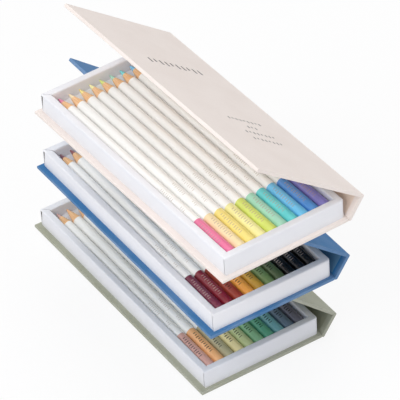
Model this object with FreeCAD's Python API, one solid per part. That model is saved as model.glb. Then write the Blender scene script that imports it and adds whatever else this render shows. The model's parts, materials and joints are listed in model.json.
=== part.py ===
# A set of three book-style pencil cases, opened and displayed one above the other.
# Each case is a wrapped board cover (back, spine and lid joined by two folds) with a shallow tray of
# folded card fixed to the back board, and a row of round colour pencils lying side by side in the tray.
# Millimetres. +X runs along the pencils towards their butt ends, +Y towards the spine, +Z up.
# The origin is on the underside of the bottom case's back board, under the middle of its tray.
import FreeCAD
import Part
import math
import os
from collections import namedtuple

Vector = FreeCAD.Vector

# Pencils
PENCILS_PER_CASE = 10
PENCIL_LENGTH = 178.0
PENCIL_DIAMETER = 6.9
POINT_DIAMETER = 0.6
CONE_LENGTH = 14.0
BUTT_CHAMFER = 0.6
PENCIL_SIDE_GAP = 0.3
PENCIL_END_PLAY = 0.8
PENCIL_REST_GAP = 0.1

# Tray of folded card
CARD_THICKNESS = 0.5
WALL_WIDTH = 4.9
RIDGE_RADIUS = 1.0
FOLDED_CORNER_RADIUS = 2.4
WELL_CORNER_RADIUS = 0.9
RIM_ABOVE_PENCILS = 1.3
FLOOR_HEIGHT = 4.3
MITRE_INSET = 0.1
OPEN_CORNER_INSET = 0.6

# Cover of wrapped boards
BOARD_CORE_THICKNESS = 1.6
WRAP_THICKNESS = 0.3
END_OVERHANG = 2.4
FRONT_OVERHANG = 3.8
SPINE_TO_TRAY_GAP = 0.5
LID_TO_TRAY_GAP = 0.4
FOLD_GAP = 0.12
EDGE_ROUNDING = 0.5
LINER_MARGIN = 4.0

# How the covers stand open, in degrees
SPINE_LEAN = 36.0
BOTTOM_LID_OPENING = 7.5
MIDDLE_LID_OPENING = 4.5
TOP_LID_OPENING = 2.0

# How the cases stand on one another
CASE_SHIFT_X = 33.4
MIDDLE_SHIFT_Y = -10.6
TOP_SHIFT_Y = -12.4
TOP_TURN = 1.5
PROP_GAP = 0.4

# Worked out from the sizes above
pencil_radius = PENCIL_DIAMETER / 2
point_radius = POINT_DIAMETER / 2
pencil_pitch = PENCIL_DIAMETER + PENCIL_SIDE_GAP
well_width = PENCILS_PER_CASE * pencil_pitch + PENCIL_SIDE_GAP
well_length = PENCIL_LENGTH + 2 * PENCIL_END_PLAY
tray_width = well_width + 2 * WALL_WIDTH
tray_length = well_length + 2 * WALL_WIDTH
wall_height = FLOOR_HEIGHT + PENCIL_REST_GAP + PENCIL_DIAMETER + RIM_ABOVE_PENCILS
half_width = tray_width / 2
half_length = tray_length / 2

board_thickness = BOARD_CORE_THICKNESS + 2 * WRAP_THICKNESS
half_board = board_thickness / 2
half_cover_length = half_length + END_OVERHANG
cover_front = -half_width - FRONT_OVERHANG
fold_clearance = half_board + FOLD_GAP

# The lower fold lies beside the tray at the middle of the back board's thickness, and the upper fold
# is one spine width above it when the case is shut
lower_fold = Vector(0, half_width + SPINE_TO_TRAY_GAP + half_board, -half_board)
spine_width = wall_height + LID_TO_TRAY_GAP + board_thickness
upper_fold = lower_fold + Vector(0, 0, spine_width)
board_edge = lower_fold.y - fold_clearance
lid_width = lower_fold.y - cover_front

opening_axis = Vector(-1, 0, 0)


def box(x_range, y_range, z_range):
    """A block between two places on each axis."""
    low = Vector(x_range[0], y_range[0], z_range[0])
    size = [high - start for start, high in (x_range, y_range, z_range)]
    return Part.makeBox(size[0], size[1], size[2], low)


def rod(fold, radius):
    """A round bead along a fold, as long as the cover."""
    start = Vector(-half_cover_length, fold.y, fold.z)
    return Part.makeCylinder(radius, 2 * half_cover_length, start, Vector(1, 0, 0))


def extruded(points, direction):
    """A prism over a flat outline of straight edges."""
    face = Part.Face(Part.makePolygon(points + [points[0]]))
    return face.extrude(direction)


# Pencils

pencil_tip = -half_length + WALL_WIDTH + PENCIL_END_PLAY


def sharpened_pencil():
    """A round pencil along X: its blunt point, sharpened cone, barrel and chamfered butt."""
    butt = pencil_tip + PENCIL_LENGTH
    outline = [
        Vector(pencil_tip, 0, 0),
        Vector(pencil_tip, 0, point_radius),
        Vector(pencil_tip + CONE_LENGTH, 0, pencil_radius),
        Vector(butt - BUTT_CHAMFER, 0, pencil_radius),
        Vector(butt, 0, pencil_radius - BUTT_CHAMFER),
        Vector(butt, 0, 0),
    ]
    half_section = Part.Face(Part.makePolygon(outline + [outline[0]]))
    return half_section.revolve(Vector(0, 0, 0), Vector(1, 0, 0), 360)


def pencil(place):
    """One pencil in its place in the row."""
    y = -well_width / 2 + PENCIL_SIDE_GAP + pencil_radius + place * pencil_pitch
    laid = sharpened_pencil()
    laid.translate(Vector(0, y, FLOOR_HEIGHT + PENCIL_REST_GAP + pencil_radius))
    return laid


# Tray

def block_with_folded_corner(half_x, half_y, corner_radius, z_range):
    """A block about the middle of the tray, rounded at the corner beside the spine and the butts."""
    block = box((-half_x, half_x), (-half_y, half_y), z_range)
    corner = [edge for edge in block.Edges if edge.BoundBox.XMin > 0 and edge.BoundBox.YMin > 0]
    return block.makeFillet(corner_radius, corner)


def walls_in_the_round(inset, ridge_radius):
    """All four walls as one ring with rounded ridges, each face set into the walls by the inset."""
    height = wall_height - inset
    outside = block_with_folded_corner(
        half_length - inset, half_width - inset, FOLDED_CORNER_RADIUS - inset, (0, height)
    )
    well = block_with_folded_corner(
        well_length / 2 + inset, well_width / 2 + inset, WELL_CORNER_RADIUS + inset, (0, height)
    )
    ring = outside.cut(well)
    ridges = [edge for edge in ring.Edges if edge.BoundBox.ZMin > height - ridge_radius]
    return ring.makeFillet(ridge_radius, ridges)


def folded_walls():
    """The card of the walls: up the outside, over the ledge and down the inside, hollow and open below."""
    outer_skin = walls_in_the_round(0, RIDGE_RADIUS)
    return outer_skin.cut(walls_in_the_round(CARD_THICKNESS, RIDGE_RADIUS - CARD_THICKNESS))


def mitred_wall(length, distance, turn, insets):
    """One wall of the tray: its distance from the middle, its turn round the tray, and its mitred ends.

    Each end is set in from the corner by its inset.
    """
    left, right = insets[0] - length / 2, length / 2 - insets[1]
    plan = [
        Vector(left, -distance, 0),
        Vector(right, -distance, 0),
        Vector(right - WALL_WIDTH, -distance + WALL_WIDTH, 0),
        Vector(left + WALL_WIDTH, -distance + WALL_WIDTH, 0),
    ]
    space = extruded(plan, Vector(0, 0, wall_height))
    space.rotate(Vector(0, 0, 0), Vector(0, 0, 1), turn)
    return folded_walls().common(space)


def tray_floor():
    """The card floor that the pencils lie on, and the spacer board that raises it."""
    spacer_top = FLOOR_HEIGHT - CARD_THICKNESS
    layers = [(0, spacer_top), (spacer_top, FLOOR_HEIGHT)]
    return Part.makeCompound(
        [block_with_folded_corner(well_length / 2, well_width / 2, WELL_CORNER_RADIUS, z) for z in layers]
    )


def tray_side_walls():
    """The two long walls, whose card stops short of the corners at the pencils' points."""
    front = mitred_wall(tray_length, half_width, 0, (OPEN_CORNER_INSET, MITRE_INSET))
    back = mitred_wall(tray_length, half_width, 180, (MITRE_INSET, OPEN_CORNER_INSET))
    return Part.makeCompound([front, back])


def tray_end_walls():
    """The two short walls, at the points and at the butts of the pencils."""
    insets = (MITRE_INSET, MITRE_INSET)
    return Part.makeCompound([mitred_wall(tray_width, half_length, turn, insets) for turn in (90, 270)])


# Cover boards, shut

def panel_core(low_z):
    """The bare board inside a back or lid panel whose lower face is at low_z."""
    end = half_cover_length - WRAP_THICKNESS
    low = low_z + WRAP_THICKNESS
    return box((-end, end), (cover_front + WRAP_THICKNESS, board_edge), (low, low + BOARD_CORE_THICKNESS))


def panel_wrap(low_z):
    """Cover paper round a panel's faces and its three free edges, open towards the fold."""
    whole = box(
        (-half_cover_length, half_cover_length), (cover_front, board_edge), (low_z, low_z + board_thickness)
    )
    level = [edge for edge in whole.Edges if edge.BoundBox.ZLength < EDGE_ROUNDING]
    free = [edge for edge in level if edge.BoundBox.YMin < board_edge - EDGE_ROUNDING]
    return whole.makeFillet(EDGE_ROUNDING, free).cut(panel_core(low_z))


def lid_liner():
    """The sheet pasted inside the lid, set in from its edges."""
    end = half_cover_length - LINER_MARGIN
    low = upper_fold.z - half_board
    return box(
        (-end, end), (cover_front + LINER_MARGIN, board_edge - LINER_MARGIN), (low, low + WRAP_THICKNESS)
    )


def spine_layer(end_margin, low_depth, high_depth):
    """A sheet or board of the spine between its folds, at its depth from the side towards the tray."""
    end = half_cover_length - end_margin
    inner_face = lower_fold.y - half_board
    return box(
        (-end, end),
        (inner_face + low_depth, inner_face + high_depth),
        (lower_fold.z + half_board, upper_fold.z - half_board),
    )


def spine_core():
    """The board inside the spine."""
    return spine_layer(WRAP_THICKNESS, WRAP_THICKNESS, board_thickness - WRAP_THICKNESS)


def spine_liner():
    """The sheet pasted on the side of the spine towards the tray, set in from the ends."""
    return spine_layer(LINER_MARGIN, 0, WRAP_THICKNESS)


def spine_wrap():
    """Cover paper round the spine and its ends, with the rounded bead of each fold."""
    flat = box(
        (-half_cover_length, half_cover_length),
        (lower_fold.y - half_board, lower_fold.y + half_board),
        (lower_fold.z, upper_fold.z),
    )
    rounded = flat.fuse([rod(lower_fold, half_board), rod(upper_fold, half_board)]).removeSplitter()
    return rounded.cut(spine_core()).cut(spine_liner())


# One case and the stack of cases

def with_spine(shape):
    """Leans a shut spine out about the lower fold."""
    shape.rotate(lower_fold, opening_axis, SPINE_LEAN)
    return shape


def with_lid(shape, opening):
    """Opens a shut lid about the upper fold, and then carries it out with the spine."""
    shape.rotate(upper_fold, opening_axis, opening)
    return with_spine(shape)


def case_pieces(opening):
    """Every piece of one case in its own frame, on the back board's upper face, by name."""
    lid_low = upper_fold.z - half_board
    pieces = {
        "back_board": panel_core(-board_thickness),
        "back_wrap": panel_wrap(-board_thickness),
        "spine_board": with_spine(Part.makeCompound([spine_core(), spine_liner()])),
        "spine_wrap": with_spine(spine_wrap()),
        "lid_board": with_lid(panel_core(lid_low), opening),
        "lid_wrap": with_lid(panel_wrap(lid_low).cut(lid_liner()), opening),
        "lid_liner": with_lid(lid_liner(), opening),
        "tray_floor": tray_floor(),
        "tray_side_walls": tray_side_walls(),
        "tray_end_walls": tray_end_walls(),
    }
    for place in range(PENCILS_PER_CASE):
        pieces[f"pencil_{place + 1:02d}"] = pencil(place)
    return pieces


def rise_over(opening):
    """How far the next case stands above one whose lid props it: the lid's free edge is just below it."""
    lean = math.radians(SPINE_LEAN)
    angle = math.radians(SPINE_LEAN + opening)
    edge = lower_fold.z + spine_width * math.cos(lean)
    edge += lid_width * math.sin(angle) + half_board * math.cos(angle)
    return edge + board_thickness + PROP_GAP


Case = namedtuple("Case", "name opening place turn")


def stack():
    """The three cases with their places, each upper one propped on the lid below."""
    bottom = Vector(0, 0, board_thickness)
    middle = bottom + Vector(CASE_SHIFT_X, MIDDLE_SHIFT_Y, rise_over(BOTTOM_LID_OPENING))
    top = middle + Vector(CASE_SHIFT_X, TOP_SHIFT_Y, rise_over(MIDDLE_LID_OPENING))
    return [
        Case("bottom", BOTTOM_LID_OPENING, bottom, 0),
        Case("middle", MIDDLE_LID_OPENING, middle, 0),
        Case("top", TOP_LID_OPENING, top, TOP_TURN),
    ]


def fold_places(case):
    """Where a case's two folds are, as the covers stand."""
    lean = FreeCAD.Rotation(opening_axis, SPINE_LEAN)
    turn = FreeCAD.Rotation(Vector(0, 0, 1), case.turn)
    leaned_fold = lower_fold + lean.multVec(upper_fold - lower_fold)
    return [case.place + turn.multVec(fold) for fold in (lower_fold, leaned_fold)]


def main():
    os.makedirs("parts", exist_ok=True)
    for case in stack():
        for name, shape in case_pieces(case.opening).items():
            shape.rotate(Vector(0, 0, 0), Vector(0, 0, 1), case.turn)
            shape.translate(case.place)
            shape.exportStep(f"parts/{case.name}_{name}.step")
        print(case.name, "stands at", case.place, "with folds at", fold_places(case))
    print("tray", tray_length, tray_width, wall_height, "spine", spine_width, "lid", lid_width)


main()
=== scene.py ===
import json
import math
import random

import bmesh
import bpy
from bpy.props import FloatProperty, FloatVectorProperty, IntProperty, PointerProperty
from mathutils import Matrix, Vector


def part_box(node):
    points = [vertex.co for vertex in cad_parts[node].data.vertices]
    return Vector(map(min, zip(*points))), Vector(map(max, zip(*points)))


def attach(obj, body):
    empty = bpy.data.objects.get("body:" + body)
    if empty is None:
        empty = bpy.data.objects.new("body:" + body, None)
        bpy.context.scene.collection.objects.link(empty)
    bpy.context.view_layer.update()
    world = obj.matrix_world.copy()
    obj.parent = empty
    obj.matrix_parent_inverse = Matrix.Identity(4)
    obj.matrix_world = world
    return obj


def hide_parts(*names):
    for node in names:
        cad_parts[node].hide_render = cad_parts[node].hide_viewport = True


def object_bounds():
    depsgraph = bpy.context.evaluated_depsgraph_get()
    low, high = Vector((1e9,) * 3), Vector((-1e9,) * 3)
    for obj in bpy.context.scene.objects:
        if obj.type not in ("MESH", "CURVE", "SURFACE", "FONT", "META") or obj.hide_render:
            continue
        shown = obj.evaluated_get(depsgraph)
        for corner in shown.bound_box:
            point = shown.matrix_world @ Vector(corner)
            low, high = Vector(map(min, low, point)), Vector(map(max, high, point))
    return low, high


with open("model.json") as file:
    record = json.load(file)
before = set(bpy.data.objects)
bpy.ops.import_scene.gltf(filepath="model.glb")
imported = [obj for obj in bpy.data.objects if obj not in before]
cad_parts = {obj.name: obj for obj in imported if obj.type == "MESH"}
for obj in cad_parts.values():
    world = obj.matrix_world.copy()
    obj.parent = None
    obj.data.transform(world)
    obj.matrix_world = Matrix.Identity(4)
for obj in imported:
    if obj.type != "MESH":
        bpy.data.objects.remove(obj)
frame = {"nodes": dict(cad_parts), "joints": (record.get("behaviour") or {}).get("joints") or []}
cad_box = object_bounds()

bl_info = {
    "name": "Book-style pencil cases",
    "version": (1, 0, 0),
    "blender": (4, 5, 0),
    "location": "View3D > Sidebar > Pencil cases",
    "description": "Paper, card, lacquer and wood for a set of book-style colour pencil cases",
    "category": "Object",
}

CASES = ("bottom", "middle", "top")
PENCILS_PER_CASE = 10
ROLL_SEED = 7

# Points nearer than this count as one place, and a cut at a corner reaches this far along the walls
TOUCH = 1e-6
CORNER_REACH = 0.02

# How finely the ring of card is divided: across a mitre, and along the long and the short walls
MITRE_CUTS = 2
LONG_WALL_CUTS = 24
SHORT_WALL_CUTS = 10
# How long the waves are by which its walls wander
BOW_WAVE = 0.03

# The printed strokes on pencils: where a group starts and ends along the pencil in metres, its step,
# the share of a step that is ink, and half of a tall stroke's height, in turns around the pencil
LONG_GROUP = (0.1100, 0.1228, 0.0016, 0.42, 0.042)
SHORT_GROUP = (0.1300, 0.1350, 0.0016, 0.42, 0.042)
BAND_GROUP = (0.1490, 0.1686, 0.0019, 0.42, 0.05)
BARREL_INK_STRENGTH = 0.5

# The middle of a tall stroke, in turns around the pencil; what mixes tall and short strokes; the share
# of short ones; and how high both are, in halves of a tall stroke
PRINT_LEVEL = 0.44
STROKE_MIX = 0.37
SHORT_SHARE = 0.4
SHORT_STROKE = 1.4
TALL_STROKE = 2

# The ticks on the lid: their width as a share of their step, the short ones' length as a share
# of the long ones', the rounding of an end as a share of the width, and how many stand in each small line
TICK_WIDTH = 0.3
SHORT_TICK = 0.68
TICK_ROUNDING = 0.4
LINE_TICKS = (9, 3, 8, 8)

# The lamps: name, place, width of the square, and the setting that holds the power
LAMPS = (
    ("key_lamp", (0.44, -0.87, 1.13), 0.7, "key"),
    ("top_lamp", (-0.3, 0.3, 1.6), 1.0, "top"),
    ("side_lamp", (1.3, 0.25, 0.85), 0.35, "side"),
)

# The dipped band of each pencil, from the front of the tray to the spine
BAND_COLOURS = {
    # The bottom case's colours are about a tenth lighter than the bands' own paint: painted light that
    # offsets the shade cast by the cases above
    "bottom": (
        ("dusty rose", "#E4B2A6"),
        ("apricot", "#FCBF84"),
        ("khaki", "#BDB792"),
        ("straw", "#FAECAE"),
        ("pale green", "#CEDCA2"),
        ("leaf green", "#92CA9A"),
        ("teal green", "#65B896"),
        ("mist blue", "#86C6CE"),
        ("slate", "#748AA0"),
        ("warm grey", "#7B7A8A"),
    ),
    "middle": (
        ("plum", "#7A2E47"),
        ("maroon", "#84142A"),
        ("rust", "#A03A28"),
        ("orange", "#FCAE4A"),
        ("ochre", "#D2A438"),
        ("moss", "#7B9A5E"),
        ("olive", "#5A6F48"),
        ("black", "#070709"),
        ("ink blue", "#0B0F1A"),
        ("night", "#0A090F"),
    ),
    "top": (
        ("rose pink", "#F07AA6"),
        ("cream", "#FDE8B8"),
        ("warm yellow", "#FEEA88"),
        ("pale yellow", "#FFF9AE"),
        ("lime", "#E0EE76"),
        ("mint", "#AAE3CA"),
        ("turquoise", "#68DADE"),
        ("sky blue", "#73CCFB"),
        ("cornflower", "#5698E0"),
        ("violet", "#8B84CE"),
    ),
}
# The ink and its strength, on pale bands and on dark ones, whose linear colour has a mean below DARK_BAND
BAND_INK = {
    "bottom": (("#1C1B1A", 0.8), ("#1C1B1A", 0.8)),
    "middle": (("#2A241E", 0.8), ("#CDBBB2", 0.42)),
    "top": (("#B59C90", 0.55), ("#A79FAC", 0.55)),
}
DARK_BAND = 0.1
# How far a lead's colour is moved from its band's towards white
LEAD_LIGHTER = 0.1


def tone(text):
    """The linear colour of a web colour, as three numbers."""
    parts = [int(text[start:start + 2], 16) / 255 for start in (1, 3, 5)]
    return tuple(part / 12.92 if part <= 0.04045 else ((part + 0.055) / 1.055) ** 2.4 for part in parts)


def length(name, note, default):
    """A size in metres for a property group."""
    return FloatProperty(name=name, description=note, default=default, min=0, precision=5, unit="LENGTH")


def colour(name, note, default):
    """A colour for a property group."""
    return FloatVectorProperty(
        name=name, description=note, default=tone(default), subtype="COLOR", min=0, max=1
    )


def power(name, note, default):
    """A lamp's power in watts for a property group."""
    return FloatProperty(name=name, description=note, default=default, subtype="POWER")


def share(name, note, default):
    """A number between none and all for a property group."""
    return FloatProperty(name=name, description=note, default=default, min=0, max=1, subtype="FACTOR")


class CoverSettings(bpy.types.PropertyGroup):
    """Paper of the covers."""

    bottom: colour("Bottom cover", "Paper of the bottom case's cover", "#A4A692")
    middle: colour("Middle cover", "Paper of the middle case's cover", "#1F6BA4")
    top: colour("Top cover", "Paper of the top case's cover", "#EFE4DE")
    bottom_liner: colour("Bottom liner", "Sheet inside the bottom cover", "#989A86")
    middle_liner: colour("Middle liner", "Sheet inside the middle cover", "#5C8BAE")
    top_liner: colour("Top liner", "Sheet inside the top cover", "#F2DFD0")
    board: colour("Bare board", "Grey board under the paper", "#9C9892")


class TraySettings(bpy.types.PropertyGroup):
    """Folded card of the trays."""

    card_thickness: length("Card thickness", "Thickness of the folded card", 0.0005)
    ridge_radius: length("Ridge radius", "Outside radius of the folded ridges", 0.001)
    corner_radius: length("Corner radius", "Outside radius of the corner that is folded and not cut", 0.0024)
    inner_radius: length("Inner corner radius", "Inside radius of that corner", 0.0009)
    seam: length("Seam", "Gap at a corner seam", 0.0004)
    slit: length("Slit", "Gap down the wall beside the front corner at the butts", 0.0007)
    open_slit: length("Open slit", "Gap down the wall at the corner that stands open, at its top", 0.0018)
    shut_slit: length("Shut slit", "The same gap, at its foot", 0.0003)
    bow: length("Bow", "How far the card walls wander from straight", 0.00035)
    card: colour("Card", "White coated card", "#EAEBF1")
    # The uncoated back of the card, made darker than it really is: painted shade in the seams and slits
    # where the hollow of the folded walls shows
    uncoated: colour("Uncoated card", "Inner side of the card", "#8A8378")


class PencilSettings(bpy.types.PropertyGroup):
    """Sizes and finishes of the pencils."""

    cone: length("Cone", "Length of the sharpened end", 0.014)
    lead_diameter: length("Lead diameter", "Diameter of the colour lead", 0.0031)
    point_diameter: length("Point diameter", "Diameter of the blunt point", 0.0008)
    band: length("Band", "Length of the dipped colour band", 0.0335)
    paint: length("Paint", "Thickness of a coat of paint", 0.00004)
    rounding: length("Butt rounding", "Radius round the butt end", 0.0014)
    roll: FloatProperty(
        name="Roll", description="How far a pencil may lie rolled from its print", default=math.radians(8),
        subtype="ANGLE",
    )
    sides: IntProperty(name="Sides", description="Faces round a pencil", default=40, min=16)
    lacquer: colour("Lacquer", "White lacquer of the barrels", "#FBFBF9")
    wood: colour("Wood", "Bare wood of the cone", "#F8CB98")
    grain: colour("Grain", "Darker lines in the wood", "#E3A569")
    print: colour("Barrel print", "Faint print on the barrels", "#B9AE9F")


class PrintSettings(bpy.types.PropertyGroup):
    """Plain printed ticks on the lid that shows."""

    thickness: length("Ink thickness", "Height of the printed film", 0.00003)
    heading_height: length("Heading height", "Length of the tall ticks in the heading row", 0.0056)
    heading_pitch: length("Heading pitch", "Step from tick to tick in the heading row", 0.0046)
    heading_ticks: IntProperty(
        name="Heading ticks", description="Ticks in the heading row", default=10, min=1
    )
    heading: FloatProperty(
        name="Heading place", description="Place of the heading row along the lid", default=-0.040,
        unit="LENGTH",
    )
    line_height: length("Line height", "Length of the tall ticks in the small lines", 0.0026)
    line_pitch: length("Line pitch", "Step from tick to tick in the small lines", 0.0032)
    lines: FloatProperty(
        name="Lines place", description="Place of the first small line along the lid", default=0.025,
        unit="LENGTH",
    )
    shift: length("Lines shift", "How far the small lines stand towards the spine", 0.0050)
    spacing: length("Line spacing", "Step from line to line", 0.0078)
    ink: colour("Lid ink", "Ink of the ticks", "#3A3336")


class StageSettings(bpy.types.PropertyGroup):
    """Camera, floor and lamps."""

    camera_place: FloatVectorProperty(
        name="Camera place", description="Where the camera stands", default=(1.4247, -0.8098, 1.4188),
        subtype="TRANSLATION", unit="LENGTH",
    )
    heading: FloatProperty(
        name="Heading", description="Compass turn of the camera from +X", default=math.radians(149.77),
        subtype="ANGLE",
    )
    dip: FloatProperty(
        name="Dip", description="How far the camera looks down", default=math.radians(39.61),
        subtype="ANGLE",
    )
    roll: FloatProperty(
        name="Roll", description="Lean of the camera about its view", default=math.radians(-4.36),
        subtype="ANGLE",
    )
    lens: FloatProperty(
        name="Lens", description="Focal length on the sensor", default=315.7, subtype="DISTANCE_CAMERA"
    )
    sensor: FloatProperty(
        name="Sensor", description="Width of the sensor", default=36.0, subtype="DISTANCE_CAMERA"
    )
    floor_size: length("Floor size", "Width of the floor", 6.0)
    floor_thickness: length("Floor thickness", "Thickness of the floor", 0.02)
    floor_colour: colour("Floor", "Pale floor", "#F7F7F8")
    floor_glow: share("Floor glow", "How much of the floor's white is its own, to the camera", 0.86)
    sky: share("Sky", "Even light from all round", 0.58)
    key: power("Key lamp", "Power of the lamp at the tray's open side", 8.2)
    top: power("Top lamp", "Power of the lamp overhead", 5.8)
    side: power("Side lamp", "Power of the lamp at the butt ends", 1.5)


# Selecting and shaping

def deselect():
    """Leaves nothing selected."""
    bpy.ops.object.select_all(action="DESELECT")


def make_active(piece):
    """Selects one piece alone and makes it active."""
    deselect()
    piece.select_set(True)
    bpy.context.view_layer.objects.active = piece


def started(name):
    """Names the primitive just added, and puts its place and size into its mesh."""
    piece = bpy.context.object
    piece.name = name
    piece.data.name = name
    bpy.ops.object.transform_apply(location=True, rotation=True, scale=True)
    return piece


def open_shape(piece):
    """Opens a piece in edit mode with nothing selected."""
    make_active(piece)
    bpy.ops.object.mode_set(mode="EDIT")
    bpy.ops.mesh.select_all(action="DESELECT")


def close_shape():
    """Goes back to object mode."""
    bpy.ops.object.mode_set(mode="OBJECT")


def round_and_thicken(rounding, segments, thickness):
    """Rounds the corners of the flat piece that is open, makes it a slab, and closes it."""
    bpy.ops.mesh.select_mode(type="VERT")
    bpy.ops.mesh.select_all(action="SELECT")
    bpy.ops.mesh.bevel(offset=rounding, segments=segments, affect="VERTICES")
    bpy.ops.mesh.select_all(action="SELECT")
    bpy.ops.mesh.extrude_region_move(TRANSFORM_OT_translate={"value": (0, 0, thickness)})
    bpy.ops.mesh.select_all(action="SELECT")
    bpy.ops.mesh.normals_make_consistent(inside=False)
    close_shape()


def pick(kind, test):
    """Selects only the vertices, edges or faces whose points pass a test."""
    bpy.ops.mesh.select_mode(type=kind)
    bpy.ops.mesh.select_all(action="DESELECT")
    mesh = bmesh.from_edit_mesh(bpy.context.edit_object.data)
    items = {"VERT": mesh.verts, "EDGE": mesh.edges, "FACE": mesh.faces}[kind]
    for item in items:
        points = [item.co] if kind == "VERT" else [vertex.co for vertex in item.verts]
        if test(points):
            item.select_set(True)
    mesh.select_flush_mode()
    bmesh.update_edit_mesh(bpy.context.edit_object.data)


def at_x(x):
    """A test for points in one plane across the X axis."""
    return lambda points: all(abs(point.x - x) < TOUCH for point in points)


def apply_modifiers(piece):
    """Applies every modifier of a piece."""
    make_active(piece)
    for modifier in list(piece.modifiers):
        bpy.ops.object.modifier_apply(modifier=modifier.name)


def smooth(piece, degrees=35):
    """Rounds the shading of a piece, but for its sharp edges."""
    make_active(piece)
    bpy.ops.object.shade_smooth_by_angle(angle=math.radians(degrees))


def copy_to(piece, name, place):
    """A copy of a modelled piece with its own mesh, moved to its place inside that mesh."""
    mesh = piece.data.copy()
    mesh.name = name
    mesh.transform(place)
    made = bpy.data.objects.new(name, mesh)
    bpy.context.scene.collection.objects.link(made)
    return made


def discard(piece):
    """Deletes the pattern piece after its copies are made."""
    make_active(piece)
    bpy.ops.object.delete()


# Places read from the frame

def joint(name):
    """A joint of the record by name."""
    found = [each for each in frame["joints"] if each["name"] == name]
    if not found:
        raise RuntimeError(f"the frame has no joint {name}")
    return found[0]


def case_place(case):
    """The matrix that carries a piece of the bottom case to where this case stands."""
    home, there = joint("bottom_lower_fold"), joint(f"{case}_lower_fold")
    axis = Vector(there["axis"])
    turn = Matrix.Rotation(math.atan2(-axis.y, -axis.x), 4, "Z")
    return Matrix.Translation(Vector(there["pos_m"])) @ turn @ Matrix.Translation(-Vector(home["pos_m"]))


def swing(name):
    """The turn from shut to rest about one fold."""
    fold = joint(name)
    about = Vector(fold["pos_m"])
    turn = Matrix.Rotation(-math.radians(fold["range_deg"][0]), 4, Vector(fold["axis"]))
    return Matrix.Translation(about) @ turn @ Matrix.Translation(-about)


def lid_place(case):
    """The matrix that carries a piece of the bottom case's shut lid to this case's raised lid."""
    return swing(f"{case}_upper_fold") @ swing(f"{case}_lower_fold") @ case_place(case)


def lid_face():
    """The height of the shut lid's outer face, and the place of its fold, in the bottom case."""
    lower, upper = (Vector(joint(f"bottom_{fold}_fold")["pos_m"]) for fold in ("lower", "upper"))
    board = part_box("bottom_back_wrap")
    half_board = (board[1].z - board[0].z) / 2
    return lower.z + (upper - lower).length + half_board, lower.y


# Materials

class Finish:
    """A material's nodes, with short ways to make and join them."""

    def __init__(self, name):
        """Starts a material with its one Principled shader."""
        self.material = bpy.data.materials.new(name)
        self.material.use_nodes = True
        self.tree = self.material.node_tree
        self.shader = self.tree.nodes["Principled BSDF"]

    def node(self, kind, feeds=(), **options):
        """A new node, with its options set and its sockets fed."""
        made = self.tree.nodes.new(f"ShaderNode{kind}")
        for name, value in options.items():
            setattr(made, name, value)
        for socket, value in dict(feeds).items():
            self.feed(made.inputs[socket], value)
        return made

    def feed(self, socket, value):
        """Links an output to a socket, or sets the socket's own value."""
        if isinstance(value, bpy.types.NodeSocket):
            self.tree.links.new(value, socket)
        elif socket.type == "RGBA" and len(value) == 3:
            socket.default_value = (*value, 1)
        else:
            socket.default_value = value

    def place(self, scale=(1, 1, 1)):
        """The piece's own coordinates in metres, stretched."""
        source = self.node("TexCoord").outputs["Object"]
        return self.node("Mapping", {"Vector": source, "Scale": scale}).outputs["Vector"]

    def wrapped(self, scale=(1, 1, 1)):
        """The piece's UV map: metres along it, and turns around it."""
        source = self.node("UVMap").outputs["UV"]
        return self.node("Mapping", {"Vector": source, "Scale": scale}).outputs["Vector"]

    def noise(self, vector, scale, detail=2.0, rough=0.5):
        """A cloudy value round a half."""
        feeds = {"Vector": vector, "Scale": scale, "Detail": detail, "Roughness": rough}
        return self.node("TexNoise", feeds).outputs["Fac"]

    def math(self, operation, first, second=0.0):
        """The outcome of one sum or comparison."""
        made = self.node("Math", operation=operation)
        self.feed(made.inputs[0], first)
        self.feed(made.inputs[1], second)
        return made.outputs["Value"]

    def spread(self, value, low, high, start=0.0, end=1.0):
        """A value from one range taken to another, held at its ends."""
        feeds = {"Value": value, "From Min": low, "From Max": high, "To Min": start, "To Max": end}
        return self.node("MapRange", feeds).outputs["Result"]

    def mix(self, amount, first, second):
        """A colour between two."""
        made = self.node("Mix", data_type="RGBA")
        self.feed(made.inputs[0], amount)
        self.feed(made.inputs[6], first)
        self.feed(made.inputs[7], second)
        return made.outputs[2]

    def bump(self, height, distance, strength=1.0, under=None):
        """A surface tilted by a height, over an earlier one if there is one."""
        feeds = {"Height": height, "Distance": distance, "Strength": strength}
        if under is not None:
            feeds["Normal"] = under
        return self.node("Bump", feeds).outputs["Normal"]

    def set(self, **sockets):
        """Feeds the shader's sockets, whose names have spaces for underscores."""
        for name, value in sockets.items():
            self.feed(self.shader.inputs[name.replace("_", " ")], value)


def darker(rgb, amount):
    """A colour with each part scaled."""
    return tuple(part * amount for part in rgb)


def lighter(rgb, amount):
    """A colour moved towards white."""
    return tuple(part + (1 - part) * amount for part in rgb)


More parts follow.
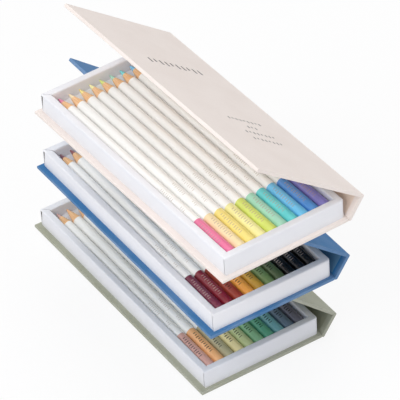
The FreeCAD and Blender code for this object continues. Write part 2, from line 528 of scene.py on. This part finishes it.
def cover_paper(name, rgb, wear=0.35):
    """Dyed cover paper: fine fibres, a soft mottle, and rubbed edges."""
    finish = Finish(name)
    fibres = finish.noise(finish.place((900, 2600, 900)), 1.0, 3.0, 0.6)
    mottle = finish.noise(finish.place(), 38.0, 3.0)
    flecks = finish.noise(finish.place((2400, 2400, 2400)), 1.0, 2.0)
    ground = finish.mix(finish.spread(mottle, 0.3, 0.7), darker(rgb, 0.97), lighter(rgb, 0.012))
    grained = finish.mix(finish.spread(fibres, 0.45, 0.75, 0.0, 0.35), ground, darker(rgb, 0.86))
    flecked = finish.mix(finish.spread(flecks, 0.66, 0.72, 0.0, 0.22), grained, lighter(rgb, 0.25))
    edge = finish.node("NewGeometry").outputs["Pointiness"]
    rubbed = finish.spread(edge, 0.53, 0.60, 0.0, wear)
    worn = finish.math("MULTIPLY", rubbed, finish.spread(mottle, 0.35, 0.6, 0.4, 1.0))
    finish.set(
        Base_Color=finish.mix(worn, flecked, lighter(rgb, 0.4)),
        Roughness=finish.spread(fibres, 0.3, 0.7, 0.62, 0.76),
        Specular_IOR_Level=0.2,
        Normal=finish.bump(fibres, 0.00004, 0.6, finish.bump(mottle, 0.0003, 0.12)),
    )
    return finish.material


def bare_board(name, rgb):
    """Grey board: pressed pulp with specks."""
    finish = Finish(name)
    pulp = finish.noise(finish.place(), 900.0, 4.0, 0.7)
    specks = finish.noise(finish.place(), 2600.0, 1.0)
    ground = finish.mix(finish.spread(pulp, 0.3, 0.7), darker(rgb, 0.85), lighter(rgb, 0.08))
    finish.set(
        Base_Color=finish.mix(finish.spread(specks, 0.68, 0.74, 0.0, 0.5), ground, darker(rgb, 0.45)),
        Roughness=0.92,
        Specular_IOR_Level=0.2,
        Normal=finish.bump(pulp, 0.0001, 0.7),
    )
    return finish.material


def tray_card(name, rgb):
    """Coated white card: satin, with a faint fibre and its folds a little lighter."""
    finish = Finish(name)
    fibres = finish.noise(finish.place((700, 1900, 1900)), 1.0, 3.0, 0.6)
    waves = finish.noise(finish.place(), 55.0, 2.0)
    ground = finish.mix(finish.spread(waves, 0.3, 0.7), darker(rgb, 0.975), rgb)
    edge = finish.node("NewGeometry").outputs["Pointiness"]
    # The folds are made lighter towards white
    fold = finish.spread(edge, 0.53, 0.62, 0.0, 0.35)
    finish.set(
        Base_Color=finish.mix(fold, ground, lighter(rgb, 0.45)),
        Roughness=finish.spread(fibres, 0.3, 0.7, 0.40, 0.50),
        Specular_IOR_Level=0.4,
        Normal=finish.bump(fibres, 0.00002, 0.5, finish.bump(waves, 0.0006, 0.22)),
    )
    return finish.material


def both(finish, first, second):
    """One where two masks are one."""
    return finish.math("MULTIPLY", first, second)


def print_mask(finish, along, around, group):
    """A row of printed strokes of uneven height along a pencil, a little forward of its top."""
    first, last, pitch, width, height = group
    inside = both(finish, finish.math("GREATER_THAN", along, first), finish.math("LESS_THAN", along, last))
    step = finish.math("DIVIDE", finish.math("SUBTRACT", along, first), pitch)
    bar = finish.math("LESS_THAN", finish.math("FRACT", step), width)
    uneven = finish.math("FRACT", finish.math("MULTIPLY", finish.math("FLOOR", step), STROKE_MIX))
    tall = finish.math("GREATER_THAN", uneven, SHORT_SHARE)
    foot = PRINT_LEVEL + height
    head = finish.spread(tall, 0.0, 1.0, foot - SHORT_STROKE * height, foot - TALL_STROKE * height)
    facing = both(finish, finish.math("LESS_THAN", around, foot), finish.math("GREATER_THAN", around, head))
    return both(finish, both(finish, inside, bar), facing)


def along_and_around(finish):
    """The two parts of a pencil's UV map."""
    parts = finish.node("SeparateXYZ", {"Vector": finish.wrapped()})
    return parts.outputs["X"], parts.outputs["Y"]


def barrel_lacquer(settings):
    """White gloss lacquer with two faint groups of printed strokes."""
    finish = Finish("white_lacquer")
    along, around = along_and_around(finish)
    long_group = print_mask(finish, along, around, LONG_GROUP)
    short_group = print_mask(finish, along, around, SHORT_GROUP)
    printed = finish.math("MULTIPLY", finish.math("MAXIMUM", long_group, short_group), BARREL_INK_STRENGTH)
    peel = finish.noise(finish.wrapped((420, 9, 1)), 1.0, 2.0)
    tint = finish.noise(finish.place(), 60.0, 2.0)
    white = tuple(settings.lacquer)
    ground = finish.mix(finish.spread(tint, 0.3, 0.7), darker(white, 0.975), white)
    finish.set(
        Base_Color=finish.mix(printed, ground, tuple(settings.print)),
        Roughness=finish.spread(peel, 0.3, 0.7, 0.17, 0.24),
        Specular_IOR_Level=0.45,
        Coat_Weight=0.35,
        Coat_Roughness=0.08,
        Normal=finish.bump(peel, 0.00004, 0.12),
    )
    return finish.material


def cone_wood(settings):
    """Sharpened cedar: long grain, a few dark lines and fine turning marks."""
    finish = Finish("sharpened_wood")
    grain = finish.noise(finish.wrapped((110, 13, 1)), 1.0, 4.0, 0.6)
    lines = finish.noise(finish.wrapped((45, 34, 1)), 1.0, 2.0)
    rings = finish.noise(finish.wrapped((3200, 1.5, 1)), 1.0, 1.0)
    wood, dark = tuple(settings.wood), tuple(settings.grain)
    ground = finish.mix(finish.spread(grain, 0.3, 0.7), darker(wood, 0.9), lighter(wood, 0.12))
    finish.set(
        Base_Color=finish.mix(finish.spread(lines, 0.5, 0.68, 0.0, 0.75), ground, dark),
        Roughness=finish.spread(grain, 0.3, 0.7, 0.58, 0.72),
        Specular_IOR_Level=0.3,
        Normal=finish.bump(rings, 0.00003, 0.5, finish.bump(grain, 0.00005, 0.4)),
    )
    return finish.material


def lead_wax(name, rgb):
    """Waxy colour lead with a rubbed, slightly grainy point."""
    finish = Finish(name)
    grains = finish.noise(finish.place(), 2600.0, 3.0, 0.65)
    streaks = finish.noise(finish.wrapped((500, 12, 1)), 1.0, 2.0)
    ground = finish.mix(finish.spread(streaks, 0.35, 0.65), darker(rgb, 0.82), rgb)
    finish.set(
        Base_Color=finish.mix(finish.spread(grains, 0.55, 0.75, 0.0, 0.3), ground, lighter(rgb, 0.25)),
        Roughness=finish.spread(grains, 0.3, 0.7, 0.38, 0.55),
        Specular_IOR_Level=0.4,
        Normal=finish.bump(grains, 0.00005, 0.5),
    )
    return finish.material


def band_paint(name, rgb, ink, strength):
    """Dipped gloss paint with a row of printed strokes."""
    finish = Finish(name)
    along, around = along_and_around(finish)
    strokes = print_mask(finish, along, around, BAND_GROUP)
    flow = finish.noise(finish.wrapped((90, 5, 1)), 1.0, 2.0)
    ground = finish.mix(finish.spread(flow, 0.3, 0.7), darker(rgb, 0.93), lighter(rgb, 0.03))
    finish.set(
        Base_Color=finish.mix(finish.math("MULTIPLY", strokes, strength), ground, ink),
        Roughness=finish.spread(flow, 0.3, 0.7, 0.14, 0.22),
        Specular_IOR_Level=0.35,
        Coat_Weight=0.2,
        Coat_Roughness=0.05,
        Normal=finish.bump(flow, 0.00012, 0.15),
    )
    return finish.material


def lid_ink(name, rgb):
    """Printed ink that has sunk a little into the paper's grain."""
    finish = Finish(name)
    fibres = finish.noise(finish.place((900, 2600, 900)), 1.0, 3.0, 0.6)
    finish.set(
        Base_Color=finish.mix(finish.spread(fibres, 0.4, 0.8, 0.0, 0.35), rgb, lighter(rgb, 0.3)),
        Roughness=0.5,
        Specular_IOR_Level=0.35,
        Normal=finish.bump(fibres, 0.00002, 0.5),
    )
    return finish.material


def dress(piece, *materials):
    """Gives a piece its materials in place of those it has."""
    piece.data.materials.clear()
    for material in materials:
        piece.data.materials.append(material)


# Covers

class PENCILCASES_OT_finish_covers(bpy.types.Operator):
    """Gives every cover, liner, board and tray floor of the model its paper or card"""

    bl_idname = "pencil_cases.finish_covers"
    bl_label = "Finish the covers"

    def execute(self, context):
        covers = context.scene.case_covers
        board = bare_board("grey_board", tuple(covers.board))
        card = tray_card("floor_card", tuple(context.scene.case_trays.card))
        for case in CASES:
            paper = cover_paper(f"{case}_cover_paper", tuple(getattr(covers, case)))
            liner = cover_paper(f"{case}_liner_paper", tuple(getattr(covers, f"{case}_liner")), wear=0.0)
            finishes = {
                "back_board": board,
                "back_wrap": paper,
                "spine_board": liner,
                "spine_wrap": paper,
                "lid_board": board,
                "lid_wrap": paper,
                "lid_liner": liner,
                "tray_floor": card,
            }
            for node, finish in finishes.items():
                dress(frame["nodes"][f"{case}_{node}"], finish)
        return {"FINISHED"}


# Trays

def cut_out(near, planes):
    """Cuts the faces that pass a test along two planes, and deletes what lies between them."""
    for at, across in planes:
        pick("FACE", near)
        bpy.ops.mesh.bisect(plane_co=at, plane_no=across)

    def between(points):
        """Whether a face lies inside both planes."""
        return all((p - at).dot(across) < TOUCH for p in points for at, across in planes)

    pick("FACE", lambda points: near(points) and between(points))
    bpy.ops.mesh.delete(type="FACE")


def cut_seam(outer, corner, width):
    """Cuts the folded card apart along the mitre of one corner."""
    at = Vector((corner[0] * outer.x, corner[1] * outer.y, 0))
    along = Vector((-corner[0], -corner[1], 0)).normalized()
    across = Vector((-along.y, along.x, 0))

    def near(points):
        """Whether a face is close to the corner."""
        return all((point.xy - at.xy).length < CORNER_REACH for point in points)

    cut_out(near, [(at + across * side * width / 2, across * side) for side in (-1, 1)])


def cut_slit(outer, x, top_width, foot_width, low, high):
    """Cuts a slit down the outer leg of the front wall, from one place along it towards its middle."""
    inward = -1 if x > 0 else 1

    def near(points):
        """Whether a face of the outer leg is close to the slit."""
        on_leg = all(abs(point.y + outer.y) < TOUCH and point.z < high + TOUCH for point in points)
        return on_leg and all(abs(point.x - x) < CORNER_REACH for point in points)

    tilt = (top_width - foot_width) / (high - low)
    far_side = Vector((inward, 0, -tilt)).normalized()
    cut_out(near, [
        (Vector((x, 0, low)), Vector((-inward, 0, 0))),
        (Vector((x + inward * foot_width, 0, low)), far_side),
    ])


def pick_ridges(piece):
    """Selects the edges where the level ledge turns down into a leg."""
    bpy.ops.mesh.select_mode(type="EDGE")
    bpy.ops.mesh.select_all(action="DESELECT")
    mesh = bmesh.from_edit_mesh(piece.data)
    mesh.normal_update()
    for edge in mesh.edges:
        if len(edge.link_faces) == 2:
            steep, level = sorted(abs(face.normal.z) for face in edge.link_faces)
            if steep < 0.1 and level > 0.9:
                edge.select_set(True)
    bmesh.update_edit_mesh(piece.data)


def fold_tray(settings):
    """The folded double walls of the bottom tray, as one ring of card cut at three corners."""
    outer = Vector((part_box("bottom_tray_end_walls")[1].x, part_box("bottom_tray_side_walls")[1].y, 0))
    foot, top = (corner.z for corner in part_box("bottom_tray_end_walls"))
    width = outer.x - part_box("bottom_tray_floor")[1].x
    inner = outer - Vector((width, width, 0))

    def on(edge, points):
        """Whether an edge lies along the outer or the inner rectangle."""
        across = all(abs(abs(point.x) - edge.x) < TOUCH for point in points)
        return across or all(abs(abs(point.y) - edge.y) < TOUCH for point in points)

    def within_inner(points):
        """Whether a face is the mouth of the tray."""
        return all(abs(p.x) < inner.x + TOUCH and abs(p.y) < inner.y + TOUCH for p in points)

    def span(points):
        """How far an edge runs along each axis."""
        return Vector([abs(part) for part in points[0] - points[1]])

    def upright(points, corner):
        """Whether an edge stands at one corner."""
        tall = span(points).z > width / 2
        return tall and all((point.xy - corner.xy).length < TOUCH for point in points)

    deselect()
    bpy.ops.mesh.primitive_plane_add(size=1, location=(0, 0, top))
    bpy.context.object.dimensions = (2 * outer.x, 2 * outer.y, 0)
    ring = started("tray_pattern")
    open_shape(ring)
    bpy.ops.mesh.select_all(action="SELECT")
    bpy.ops.mesh.inset(thickness=width, depth=0)
    pick("FACE", within_inner)
    bpy.ops.mesh.delete(type="ONLY_FACE")
    pick("EDGE", lambda points: not on(outer, points) and not on(inner, points))
    bpy.ops.mesh.subdivide(number_cuts=MITRE_CUTS)
    pick("EDGE", lambda points: span(points).x > outer.x and span(points).y < TOUCH)
    bpy.ops.mesh.subdivide(number_cuts=LONG_WALL_CUTS)
    pick("EDGE", lambda points: span(points).y > outer.y and span(points).x < TOUCH)
    bpy.ops.mesh.subdivide(number_cuts=SHORT_WALL_CUTS)
    pick("EDGE", lambda points: on(outer, points) or on(inner, points))
    bpy.ops.mesh.extrude_edges_move(TRANSFORM_OT_translate={"value": (0, 0, foot - top)})
    pick("EDGE", lambda points: upright(points, outer))
    bpy.ops.mesh.bevel(offset=settings.corner_radius, segments=6, affect="EDGES")
    pick("EDGE", lambda points: upright(points, inner))
    bpy.ops.mesh.bevel(offset=settings.inner_radius, segments=4, affect="EDGES")
    pick_ridges(ring)
    bpy.ops.mesh.bevel(offset=settings.ridge_radius, segments=4, affect="EDGES")
    leg = (foot, top - settings.ridge_radius)
    cut_slit(outer, outer.x - 1.5 * settings.card_thickness, settings.slit, settings.slit, *leg)
    cut_slit(outer, settings.card_thickness - outer.x, settings.open_slit, settings.shut_slit, *leg)
    cut_seam(outer, (-1, 1), settings.seam)
    cut_seam(outer, (-1, -1), settings.seam)
    bpy.ops.mesh.select_all(action="SELECT")
    bpy.ops.mesh.normals_make_consistent(inside=False)
    close_shape()

    clouds = bpy.data.textures.new("card_bow", "CLOUDS")
    clouds.noise_scale = BOW_WAVE
    bow = ring.modifiers.new("bow", "DISPLACE")
    bow.texture = clouds
    bow.strength = settings.bow
    bow.mid_level = 0.75
    bow.texture_coords = "LOCAL"
    card = ring.modifiers.new("card", "SOLIDIFY")
    card.thickness = settings.card_thickness
    card.offset = -1
    # The inner shell takes the uncoated card, whose dark colour is partly the card's own and partly painted
    # shade in the seams and slits
    card.material_offset = 1
    coated = tray_card("tray_card", tuple(settings.card))
    uncoated = bare_board("uncoated_card", tuple(settings.uncoated))
    dress(ring, coated, uncoated)
    apply_modifiers(ring)
    smooth(ring)
    return ring


class PENCILCASES_OT_fold_trays(bpy.types.Operator):
    """Folds the double card walls of each tray, with their mitred corners"""

    bl_idname = "pencil_cases.fold_trays"
    bl_label = "Fold the trays"

    def execute(self, context):
        settings = context.scene.case_trays
        ring = fold_tray(settings)
        for case in CASES:
            walls = copy_to(ring, f"{case}_tray_walls", case_place(case))
            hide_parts(f"{case}_tray_side_walls", f"{case}_tray_end_walls")
            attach(walls, f"{case}_case")
        discard(ring)
        return {"FINISHED"}


# Pencils

def pencil_length():
    """The length of a pencil, read from the frame."""
    low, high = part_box("bottom_pencil_01")
    return high.x - low.x


def pencil_radius():
    """The radius of a pencil, read from the frame."""
    low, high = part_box("bottom_pencil_01")
    return (high.z - low.z) / 2


def pencil_home(number):
    """The point of a pencil in the bottom case."""
    low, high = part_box(f"bottom_pencil_{number:02d}")
    return Vector((low.x, (low.y + high.y) / 2, (low.z + high.z) / 2))


def lead_length(settings):
    """How far the colour lead stands out of the wood, with its point."""
    lead, point = settings.lead_diameter / 2, settings.point_diameter / 2
    return settings.cone * (lead - point) / (pencil_radius() - point)


def wrap_map(piece):
    """Gives a round piece along X a UV map of metres along it and turns around it."""
    layer = piece.data.uv_layers.active or piece.data.uv_layers.new(name="UVMap")
    for face in piece.data.polygons:
        turns = []
        for loop in face.loop_indices:
            point = piece.data.vertices[piece.data.loops[loop].vertex_index].co
            turns.append(math.atan2(point.y, point.z) / (2 * math.pi) + 0.5)
        wraps = max(turns) - min(turns) > 0.5
        for loop, turn in zip(face.loop_indices, turns):
            point = piece.data.vertices[piece.data.loops[loop].vertex_index].co
            layer.data[loop].uv = (point.x, turn + 1 if wraps and turn < 0.5 else turn)


def round_bar(name, start, end, radius, sides):
    """A cylinder along X, to be shaped."""
    deselect()
    bpy.ops.mesh.primitive_cylinder_add(
        vertices=sides, radius=radius, depth=end - start, location=((start + end) / 2, 0, 0),
        rotation=(0, math.pi / 2, 0),
    )
    return started(name)


def turn_casing(settings):
    """The lacquered barrel with its sharpened wooden cone."""
    radius, sides = pencil_radius(), settings.sides
    lead = settings.lead_diameter / 2
    bare = radius - settings.paint
    casing = round_bar("casing_pattern", settings.cone, pencil_length() - settings.rounding, radius, sides)
    half_cone = (-settings.cone / 2 + lead_length(settings) / 2, 0, 0)
    open_shape(casing)
    pick("FACE", at_x(settings.cone))
    bpy.ops.mesh.inset(thickness=settings.paint, depth=0)
    bpy.ops.mesh.extrude_region_move(TRANSFORM_OT_translate={"value": half_cone})
    half = (bare + lead) / 2 / bare
    bpy.ops.transform.resize(value=(1, half, half))
    bpy.ops.mesh.extrude_region_move(TRANSFORM_OT_translate={"value": half_cone})
    rest = lead / (bare * half)
    bpy.ops.transform.resize(value=(1, rest, rest))
    paint_edge = at_x(settings.cone)
    pick("EDGE", lambda points: paint_edge(points) and all(p.yz.length > radius - TOUCH for p in points))
    # Narrower than the inset, so that no face closes up
    bpy.ops.mesh.bevel(offset=settings.paint * 0.7, segments=2, affect="EDGES")
    close_shape()
    wrap_map(casing)
    smooth(casing, 25)
    dress(casing, barrel_lacquer(settings), cone_wood(settings))
    for face in casing.data.polygons:
        if all(casing.data.vertices[v].co.yz.length < bare + TOUCH for v in face.vertices):
            if face.center.x < settings.cone + TOUCH:
                face.material_index = 1
    return casing


def sharpen_lead(settings):
    """The colour lead that shows at the end of the cone, with its blunt point."""
    lead, point = settings.lead_diameter / 2, settings.point_diameter / 2
    lead_out = lead_length(settings)
    tip = round_bar("lead_pattern", 0, lead_out, lead, settings.sides)
    open_shape(tip)
    pick("FACE", at_x(0))
    shrink = point / lead
    bpy.ops.transform.resize(value=(1, shrink, shrink))
    bpy.ops.mesh.bevel(offset=point * 0.9, segments=4, affect="EDGES")
    pick("FACE", at_x(lead_out))
    bpy.ops.mesh.extrude_region_move(TRANSFORM_OT_translate={"value": (settings.point_diameter, 0, 0)})
    close_shape()
    wrap_map(tip)
    smooth(tip, 40)
    return tip


def dip_band(settings):
    """The dipped band with its rounded butt."""
    radius = pencil_radius() + settings.paint
    start, end = pencil_length() - settings.band, pencil_length()
    band = round_bar("band_pattern", start, end, radius, settings.sides)
    open_shape(band)
    pick("EDGE", at_x(end))
    bpy.ops.mesh.bevel(offset=settings.rounding, segments=6, affect="EDGES")
    pick("FACE", lambda points: at_x(end)(points) and len(points) > 4)
    bpy.ops.mesh.inset(thickness=radius / 4, depth=0)
    bpy.ops.mesh.inset(thickness=radius / 5, depth=0)
    bpy.ops.transform.translate(value=(-settings.paint * 3, 0, 0))
    pick("EDGE", at_x(start))
    bpy.ops.mesh.bevel(offset=settings.paint * 1.5, segments=2, affect="EDGES")
    close_shape()
    wrap_map(band)
    smooth(band, 40)
    return band


def each_pencil():
    """Case, number, and the matrix that lays each pencil in its tray, rolled a little."""
    rolls = random.Random(ROLL_SEED)
    for case in CASES:
        for number in range(1, PENCILS_PER_CASE + 1):
            roll = rolls.uniform(-1, 1) * bpy.context.scene.case_pencils.roll
            home = Matrix.Translation(pencil_home(number)) @ Matrix.Rotation(roll, 4, "X")
            yield case, number, case_place(case) @ home


class PENCILCASES_OT_turn_casings(bpy.types.Operator):
    """Turns the lacquered casings with their sharpened cones, and lays them in the trays"""

    bl_idname = "pencil_cases.turn_casings"
    bl_label = "Turn the casings"

    def execute(self, context):
        casing = turn_casing(context.scene.case_pencils)
        for case, number, place in each_pencil():
            piece = copy_to(casing, f"{case}_casing_{number:02d}", place)
            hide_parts(f"{case}_pencil_{number:02d}")
            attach(piece, f"{case}_pencil_{number:02d}")
        discard(casing)
        return {"FINISHED"}


class PENCILCASES_OT_sharpen_leads(bpy.types.Operator):
    """Shapes the colour leads and sets one in each cone"""

    bl_idname = "pencil_cases.sharpen_leads"
    bl_label = "Sharpen the leads"

    def execute(self, context):
        lead = sharpen_lead(context.scene.case_pencils)
        for case, number, place in each_pencil():
            piece = copy_to(lead, f"{case}_lead_{number:02d}", place)
            words, code = BAND_COLOURS[case][number - 1]
            dress(piece, lead_wax(f"{words} lead".replace(" ", "_"), lighter(tone(code), LEAD_LIGHTER)))
            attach(piece, f"{case}_pencil_{number:02d}")
        discard(lead)
        return {"FINISHED"}


class PENCILCASES_OT_dip_bands(bpy.types.Operator):
    """Dips the butt of each pencil in its colour"""

    bl_idname = "pencil_cases.dip_bands"
    bl_label = "Dip the bands"

    def execute(self, context):
        band = dip_band(context.scene.case_pencils)
        for case, number, place in each_pencil():
            piece = copy_to(band, f"{case}_band_{number:02d}", place)
            words, code = BAND_COLOURS[case][number - 1]
            on_pale, on_dark = BAND_INK[case]
            ink, strength = on_dark if sum(tone(code)) / 3 < DARK_BAND else on_pale
            dress(piece, band_paint(f"{words} paint".replace(" ", "_"), tone(code), tone(ink), strength))
            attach(piece, f"{case}_pencil_{number:02d}")
        discard(band)
        return {"FINISHED"}


# Print on the lids

def printed_tick(tall, wide, thickness):
    """One flat tick with rounded ends, along X from the origin, standing on the origin's level."""
    deselect()
    bpy.ops.mesh.primitive_plane_add(size=1, location=(tall / 2, 0, 0))
    bpy.context.object.dimensions = (tall, wide, 0)
    tick = started("tick")
    open_shape(tick)
    round_and_thicken(wide * TICK_ROUNDING, 3, thickness)
    return tick


def tick_row(x, middle, height, tall, pitch, count, thickness):
    """A row of ticks across the lid, every third one shorter."""
    long_tick = printed_tick(tall, pitch * TICK_WIDTH, thickness)
    short_tick = printed_tick(tall * SHORT_TICK, pitch * TICK_WIDTH, thickness)
    row = []
    for place in range(count):
        at = (x, middle + (place - (count - 1) / 2) * pitch, height)
        row.append(copy_to(short_tick if place % 3 == 1 else long_tick, "tick", Matrix.Translation(at)))
    discard(long_tick)
    discard(short_tick)
    return row


def print_pattern(settings):
    """The heading row and the four small lines, on the bottom case's shut lid."""
    height, fold = lid_face()
    middle = (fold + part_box("bottom_back_wrap")[0].y) / 2
    film = settings.thickness
    placed = tick_row(
        settings.heading, middle, height, settings.heading_height, settings.heading_pitch,
        settings.heading_ticks, film,
    )
    for row, count in enumerate(LINE_TICKS):
        x = settings.lines + row * settings.spacing
        across = middle + settings.shift
        placed += tick_row(x, across, height, settings.line_height, settings.line_pitch, count, film)
    deselect()
    for piece in placed:
        piece.select_set(True)
    bpy.context.view_layer.objects.active = placed[0]
    bpy.ops.object.join()
    return placed[0]


class PENCILCASES_OT_print_lid(bpy.types.Operator):
    """Prints plain ticks on the outside of the top lid"""

    bl_idname = "pencil_cases.print_lid"
    bl_label = "Print the lid"

    def execute(self, context):
        settings = context.scene.case_prints
        pattern = print_pattern(settings)
        dress(pattern, lid_ink("lid_ink", tuple(settings.ink)))
        piece = copy_to(pattern, "top_lid_print", lid_place("top"))
        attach(piece, "top_lid")
        discard(pattern)
        return {"FINISHED"}


# Stage

def make_camera(settings):
    """The camera at the photo's angle."""
    dip, heading = settings.dip, settings.heading
    ahead = Vector((math.cos(dip) * math.cos(heading), math.cos(dip) * math.sin(heading), -math.sin(dip)))
    level = ahead.cross(Vector((0, 0, 1))).normalized()
    above = level.cross(ahead)
    right = level * math.cos(settings.roll) + above * math.sin(settings.roll)
    up = above * math.cos(settings.roll) - level * math.sin(settings.roll)
    data = bpy.data.cameras.new("camera")
    data.lens = settings.lens
    data.sensor_width = settings.sensor
    data.clip_start = 0.1
    data.clip_end = 50
    camera = bpy.data.objects.new("camera", data)
    turn = Matrix((right, up, -ahead)).transposed().to_4x4()
    camera.matrix_world = Matrix.Translation(settings.camera_place) @ turn
    bpy.context.scene.collection.objects.link(camera)
    bpy.context.scene.camera = camera


def seen_directly(tree):
    """One where the camera, a reflection or a view through glass meets a surface, else zero."""
    ray = tree.nodes.new("ShaderNodeLightPath")
    seen = ray.outputs["Is Camera Ray"]
    for name in ("Is Glossy Ray", "Is Transmission Ray"):
        either = tree.nodes.new("ShaderNodeMath")
        either.operation = "MAXIMUM"
        tree.links.new(seen, either.inputs[0])
        tree.links.new(ray.outputs[name], either.inputs[1])
        seen = either.outputs["Value"]
    return seen


def make_floor(settings):
    """A wide pale slab with rounded corners, just under the object."""
    deselect()
    bpy.ops.mesh.primitive_plane_add(size=settings.floor_size, location=(0, 0, 0))
    floor = started("floor")
    open_shape(floor)
    round_and_thicken(settings.floor_size / 4, 16, -settings.floor_thickness)
    finish = Finish("pale_floor")
    mottle = finish.noise(finish.place(), 3.0, 2.0)
    paint = tuple(settings.floor_colour)
    finish.set(
        Base_Color=finish.mix(finish.spread(mottle, 0.3, 0.7), darker(paint, 0.995), paint),
        Roughness=0.9,
        Specular_IOR_Level=0.1,
    )
    glow = finish.node("Emission", {"Color": (1, 1, 1), "Strength": 1.0}).outputs["Emission"]
    part = finish.math("MULTIPLY", seen_directly(finish.tree), settings.floor_glow)
    mixed = finish.node("MixShader", {0: part, 1: finish.shader.outputs["BSDF"], 2: glow})
    finish.tree.links.new(mixed.outputs["Shader"], finish.tree.nodes["Material Output"].inputs["Surface"])
    dress(floor, finish.material)


def make_lamp(name, place, target, size, power):
    """A square soft lamp that faces a point."""
    data = bpy.data.lights.new(name, "AREA")
    data.size = size
    data.energy = power
    lamp = bpy.data.objects.new(name, data)
    lamp.location = place
    lamp.rotation_euler = (Vector(target) - Vector(place)).to_track_quat("-Z", "Y").to_euler()
    bpy.context.scene.collection.objects.link(lamp)


def make_sky(settings):
    """Even light from all round, seen as plain white by the camera and in reflections."""
    world = bpy.data.worlds.new("studio")
    world.use_nodes = True
    tree = world.node_tree
    level = tree.nodes.new("ShaderNodeMapRange")
    level.inputs["To Min"].default_value = settings.sky
    level.inputs["To Max"].default_value = 1.0
    tree.links.new(seen_directly(tree), level.inputs["Value"])
    sky = tree.nodes["Background"]
    sky.inputs["Color"].default_value = (1, 1, 1, 1)
    tree.links.new(level.outputs["Result"], sky.inputs["Strength"])
    bpy.context.scene.world = world


class PENCILCASES_OT_set_stage(bpy.types.Operator):
    """Sets the camera, floor, sky and lamps"""

    bl_idname = "pencil_cases.set_stage"
    bl_label = "Set the stage"

    def execute(self, context):
        settings = context.scene.case_stage
        middle = (cad_box[0] + cad_box[1]) / 2
        make_camera(settings)
        make_floor(settings)
        make_sky(settings)
        for name, place, width, watts in LAMPS:
            make_lamp(name, place, middle, width, getattr(settings, watts))
        context.scene.view_settings.view_transform = "Standard"
        return {"FINISHED"}


SETTINGS = {
    "case_covers": CoverSettings,
    "case_trays": TraySettings,
    "case_pencils": PencilSettings,
    "case_prints": PrintSettings,
    "case_stage": StageSettings,
}
OPERATORS = (
    PENCILCASES_OT_set_stage,
    PENCILCASES_OT_finish_covers,
    PENCILCASES_OT_fold_trays,
    PENCILCASES_OT_turn_casings,
    PENCILCASES_OT_sharpen_leads,
    PENCILCASES_OT_dip_bands,
    PENCILCASES_OT_print_lid,
)


class PENCILCASES_PT_sidebar(bpy.types.Panel):
    """Sizes, colours and steps of the pencil cases."""

    bl_idname = "PENCILCASES_PT_sidebar"
    bl_label = "Pencil cases"
    bl_space_type = "VIEW_3D"
    bl_region_type = "UI"
    bl_category = "Pencil cases"

    def draw(self, context):
        for group in SETTINGS:
            box = self.layout.box()
            settings = getattr(context.scene, group)
            for name in settings.__annotations__:
                box.prop(settings, name)
        for operator in OPERATORS:
            self.layout.operator(operator.bl_idname)


def register():
    """Registers the settings, the operators and the panel."""
    for group in SETTINGS.values():
        bpy.utils.register_class(group)
    for name, group in SETTINGS.items():
        setattr(bpy.types.Scene, name, PointerProperty(type=group))
    for kind in (*OPERATORS, PENCILCASES_PT_sidebar):
        bpy.utils.register_class(kind)


def unregister():
    """Takes back what register did."""
    for kind in (PENCILCASES_PT_sidebar, *reversed(OPERATORS)):
        bpy.utils.unregister_class(kind)
    for name, group in SETTINGS.items():
        delattr(bpy.types.Scene, name)
        bpy.utils.unregister_class(group)


def main():
    """Builds the whole scene."""
    register()
    for operator in OPERATORS:
        step = operator.bl_idname.split(".")[1]
        getattr(bpy.ops.pencil_cases, step)()


if __name__ == "__main__":
    main()
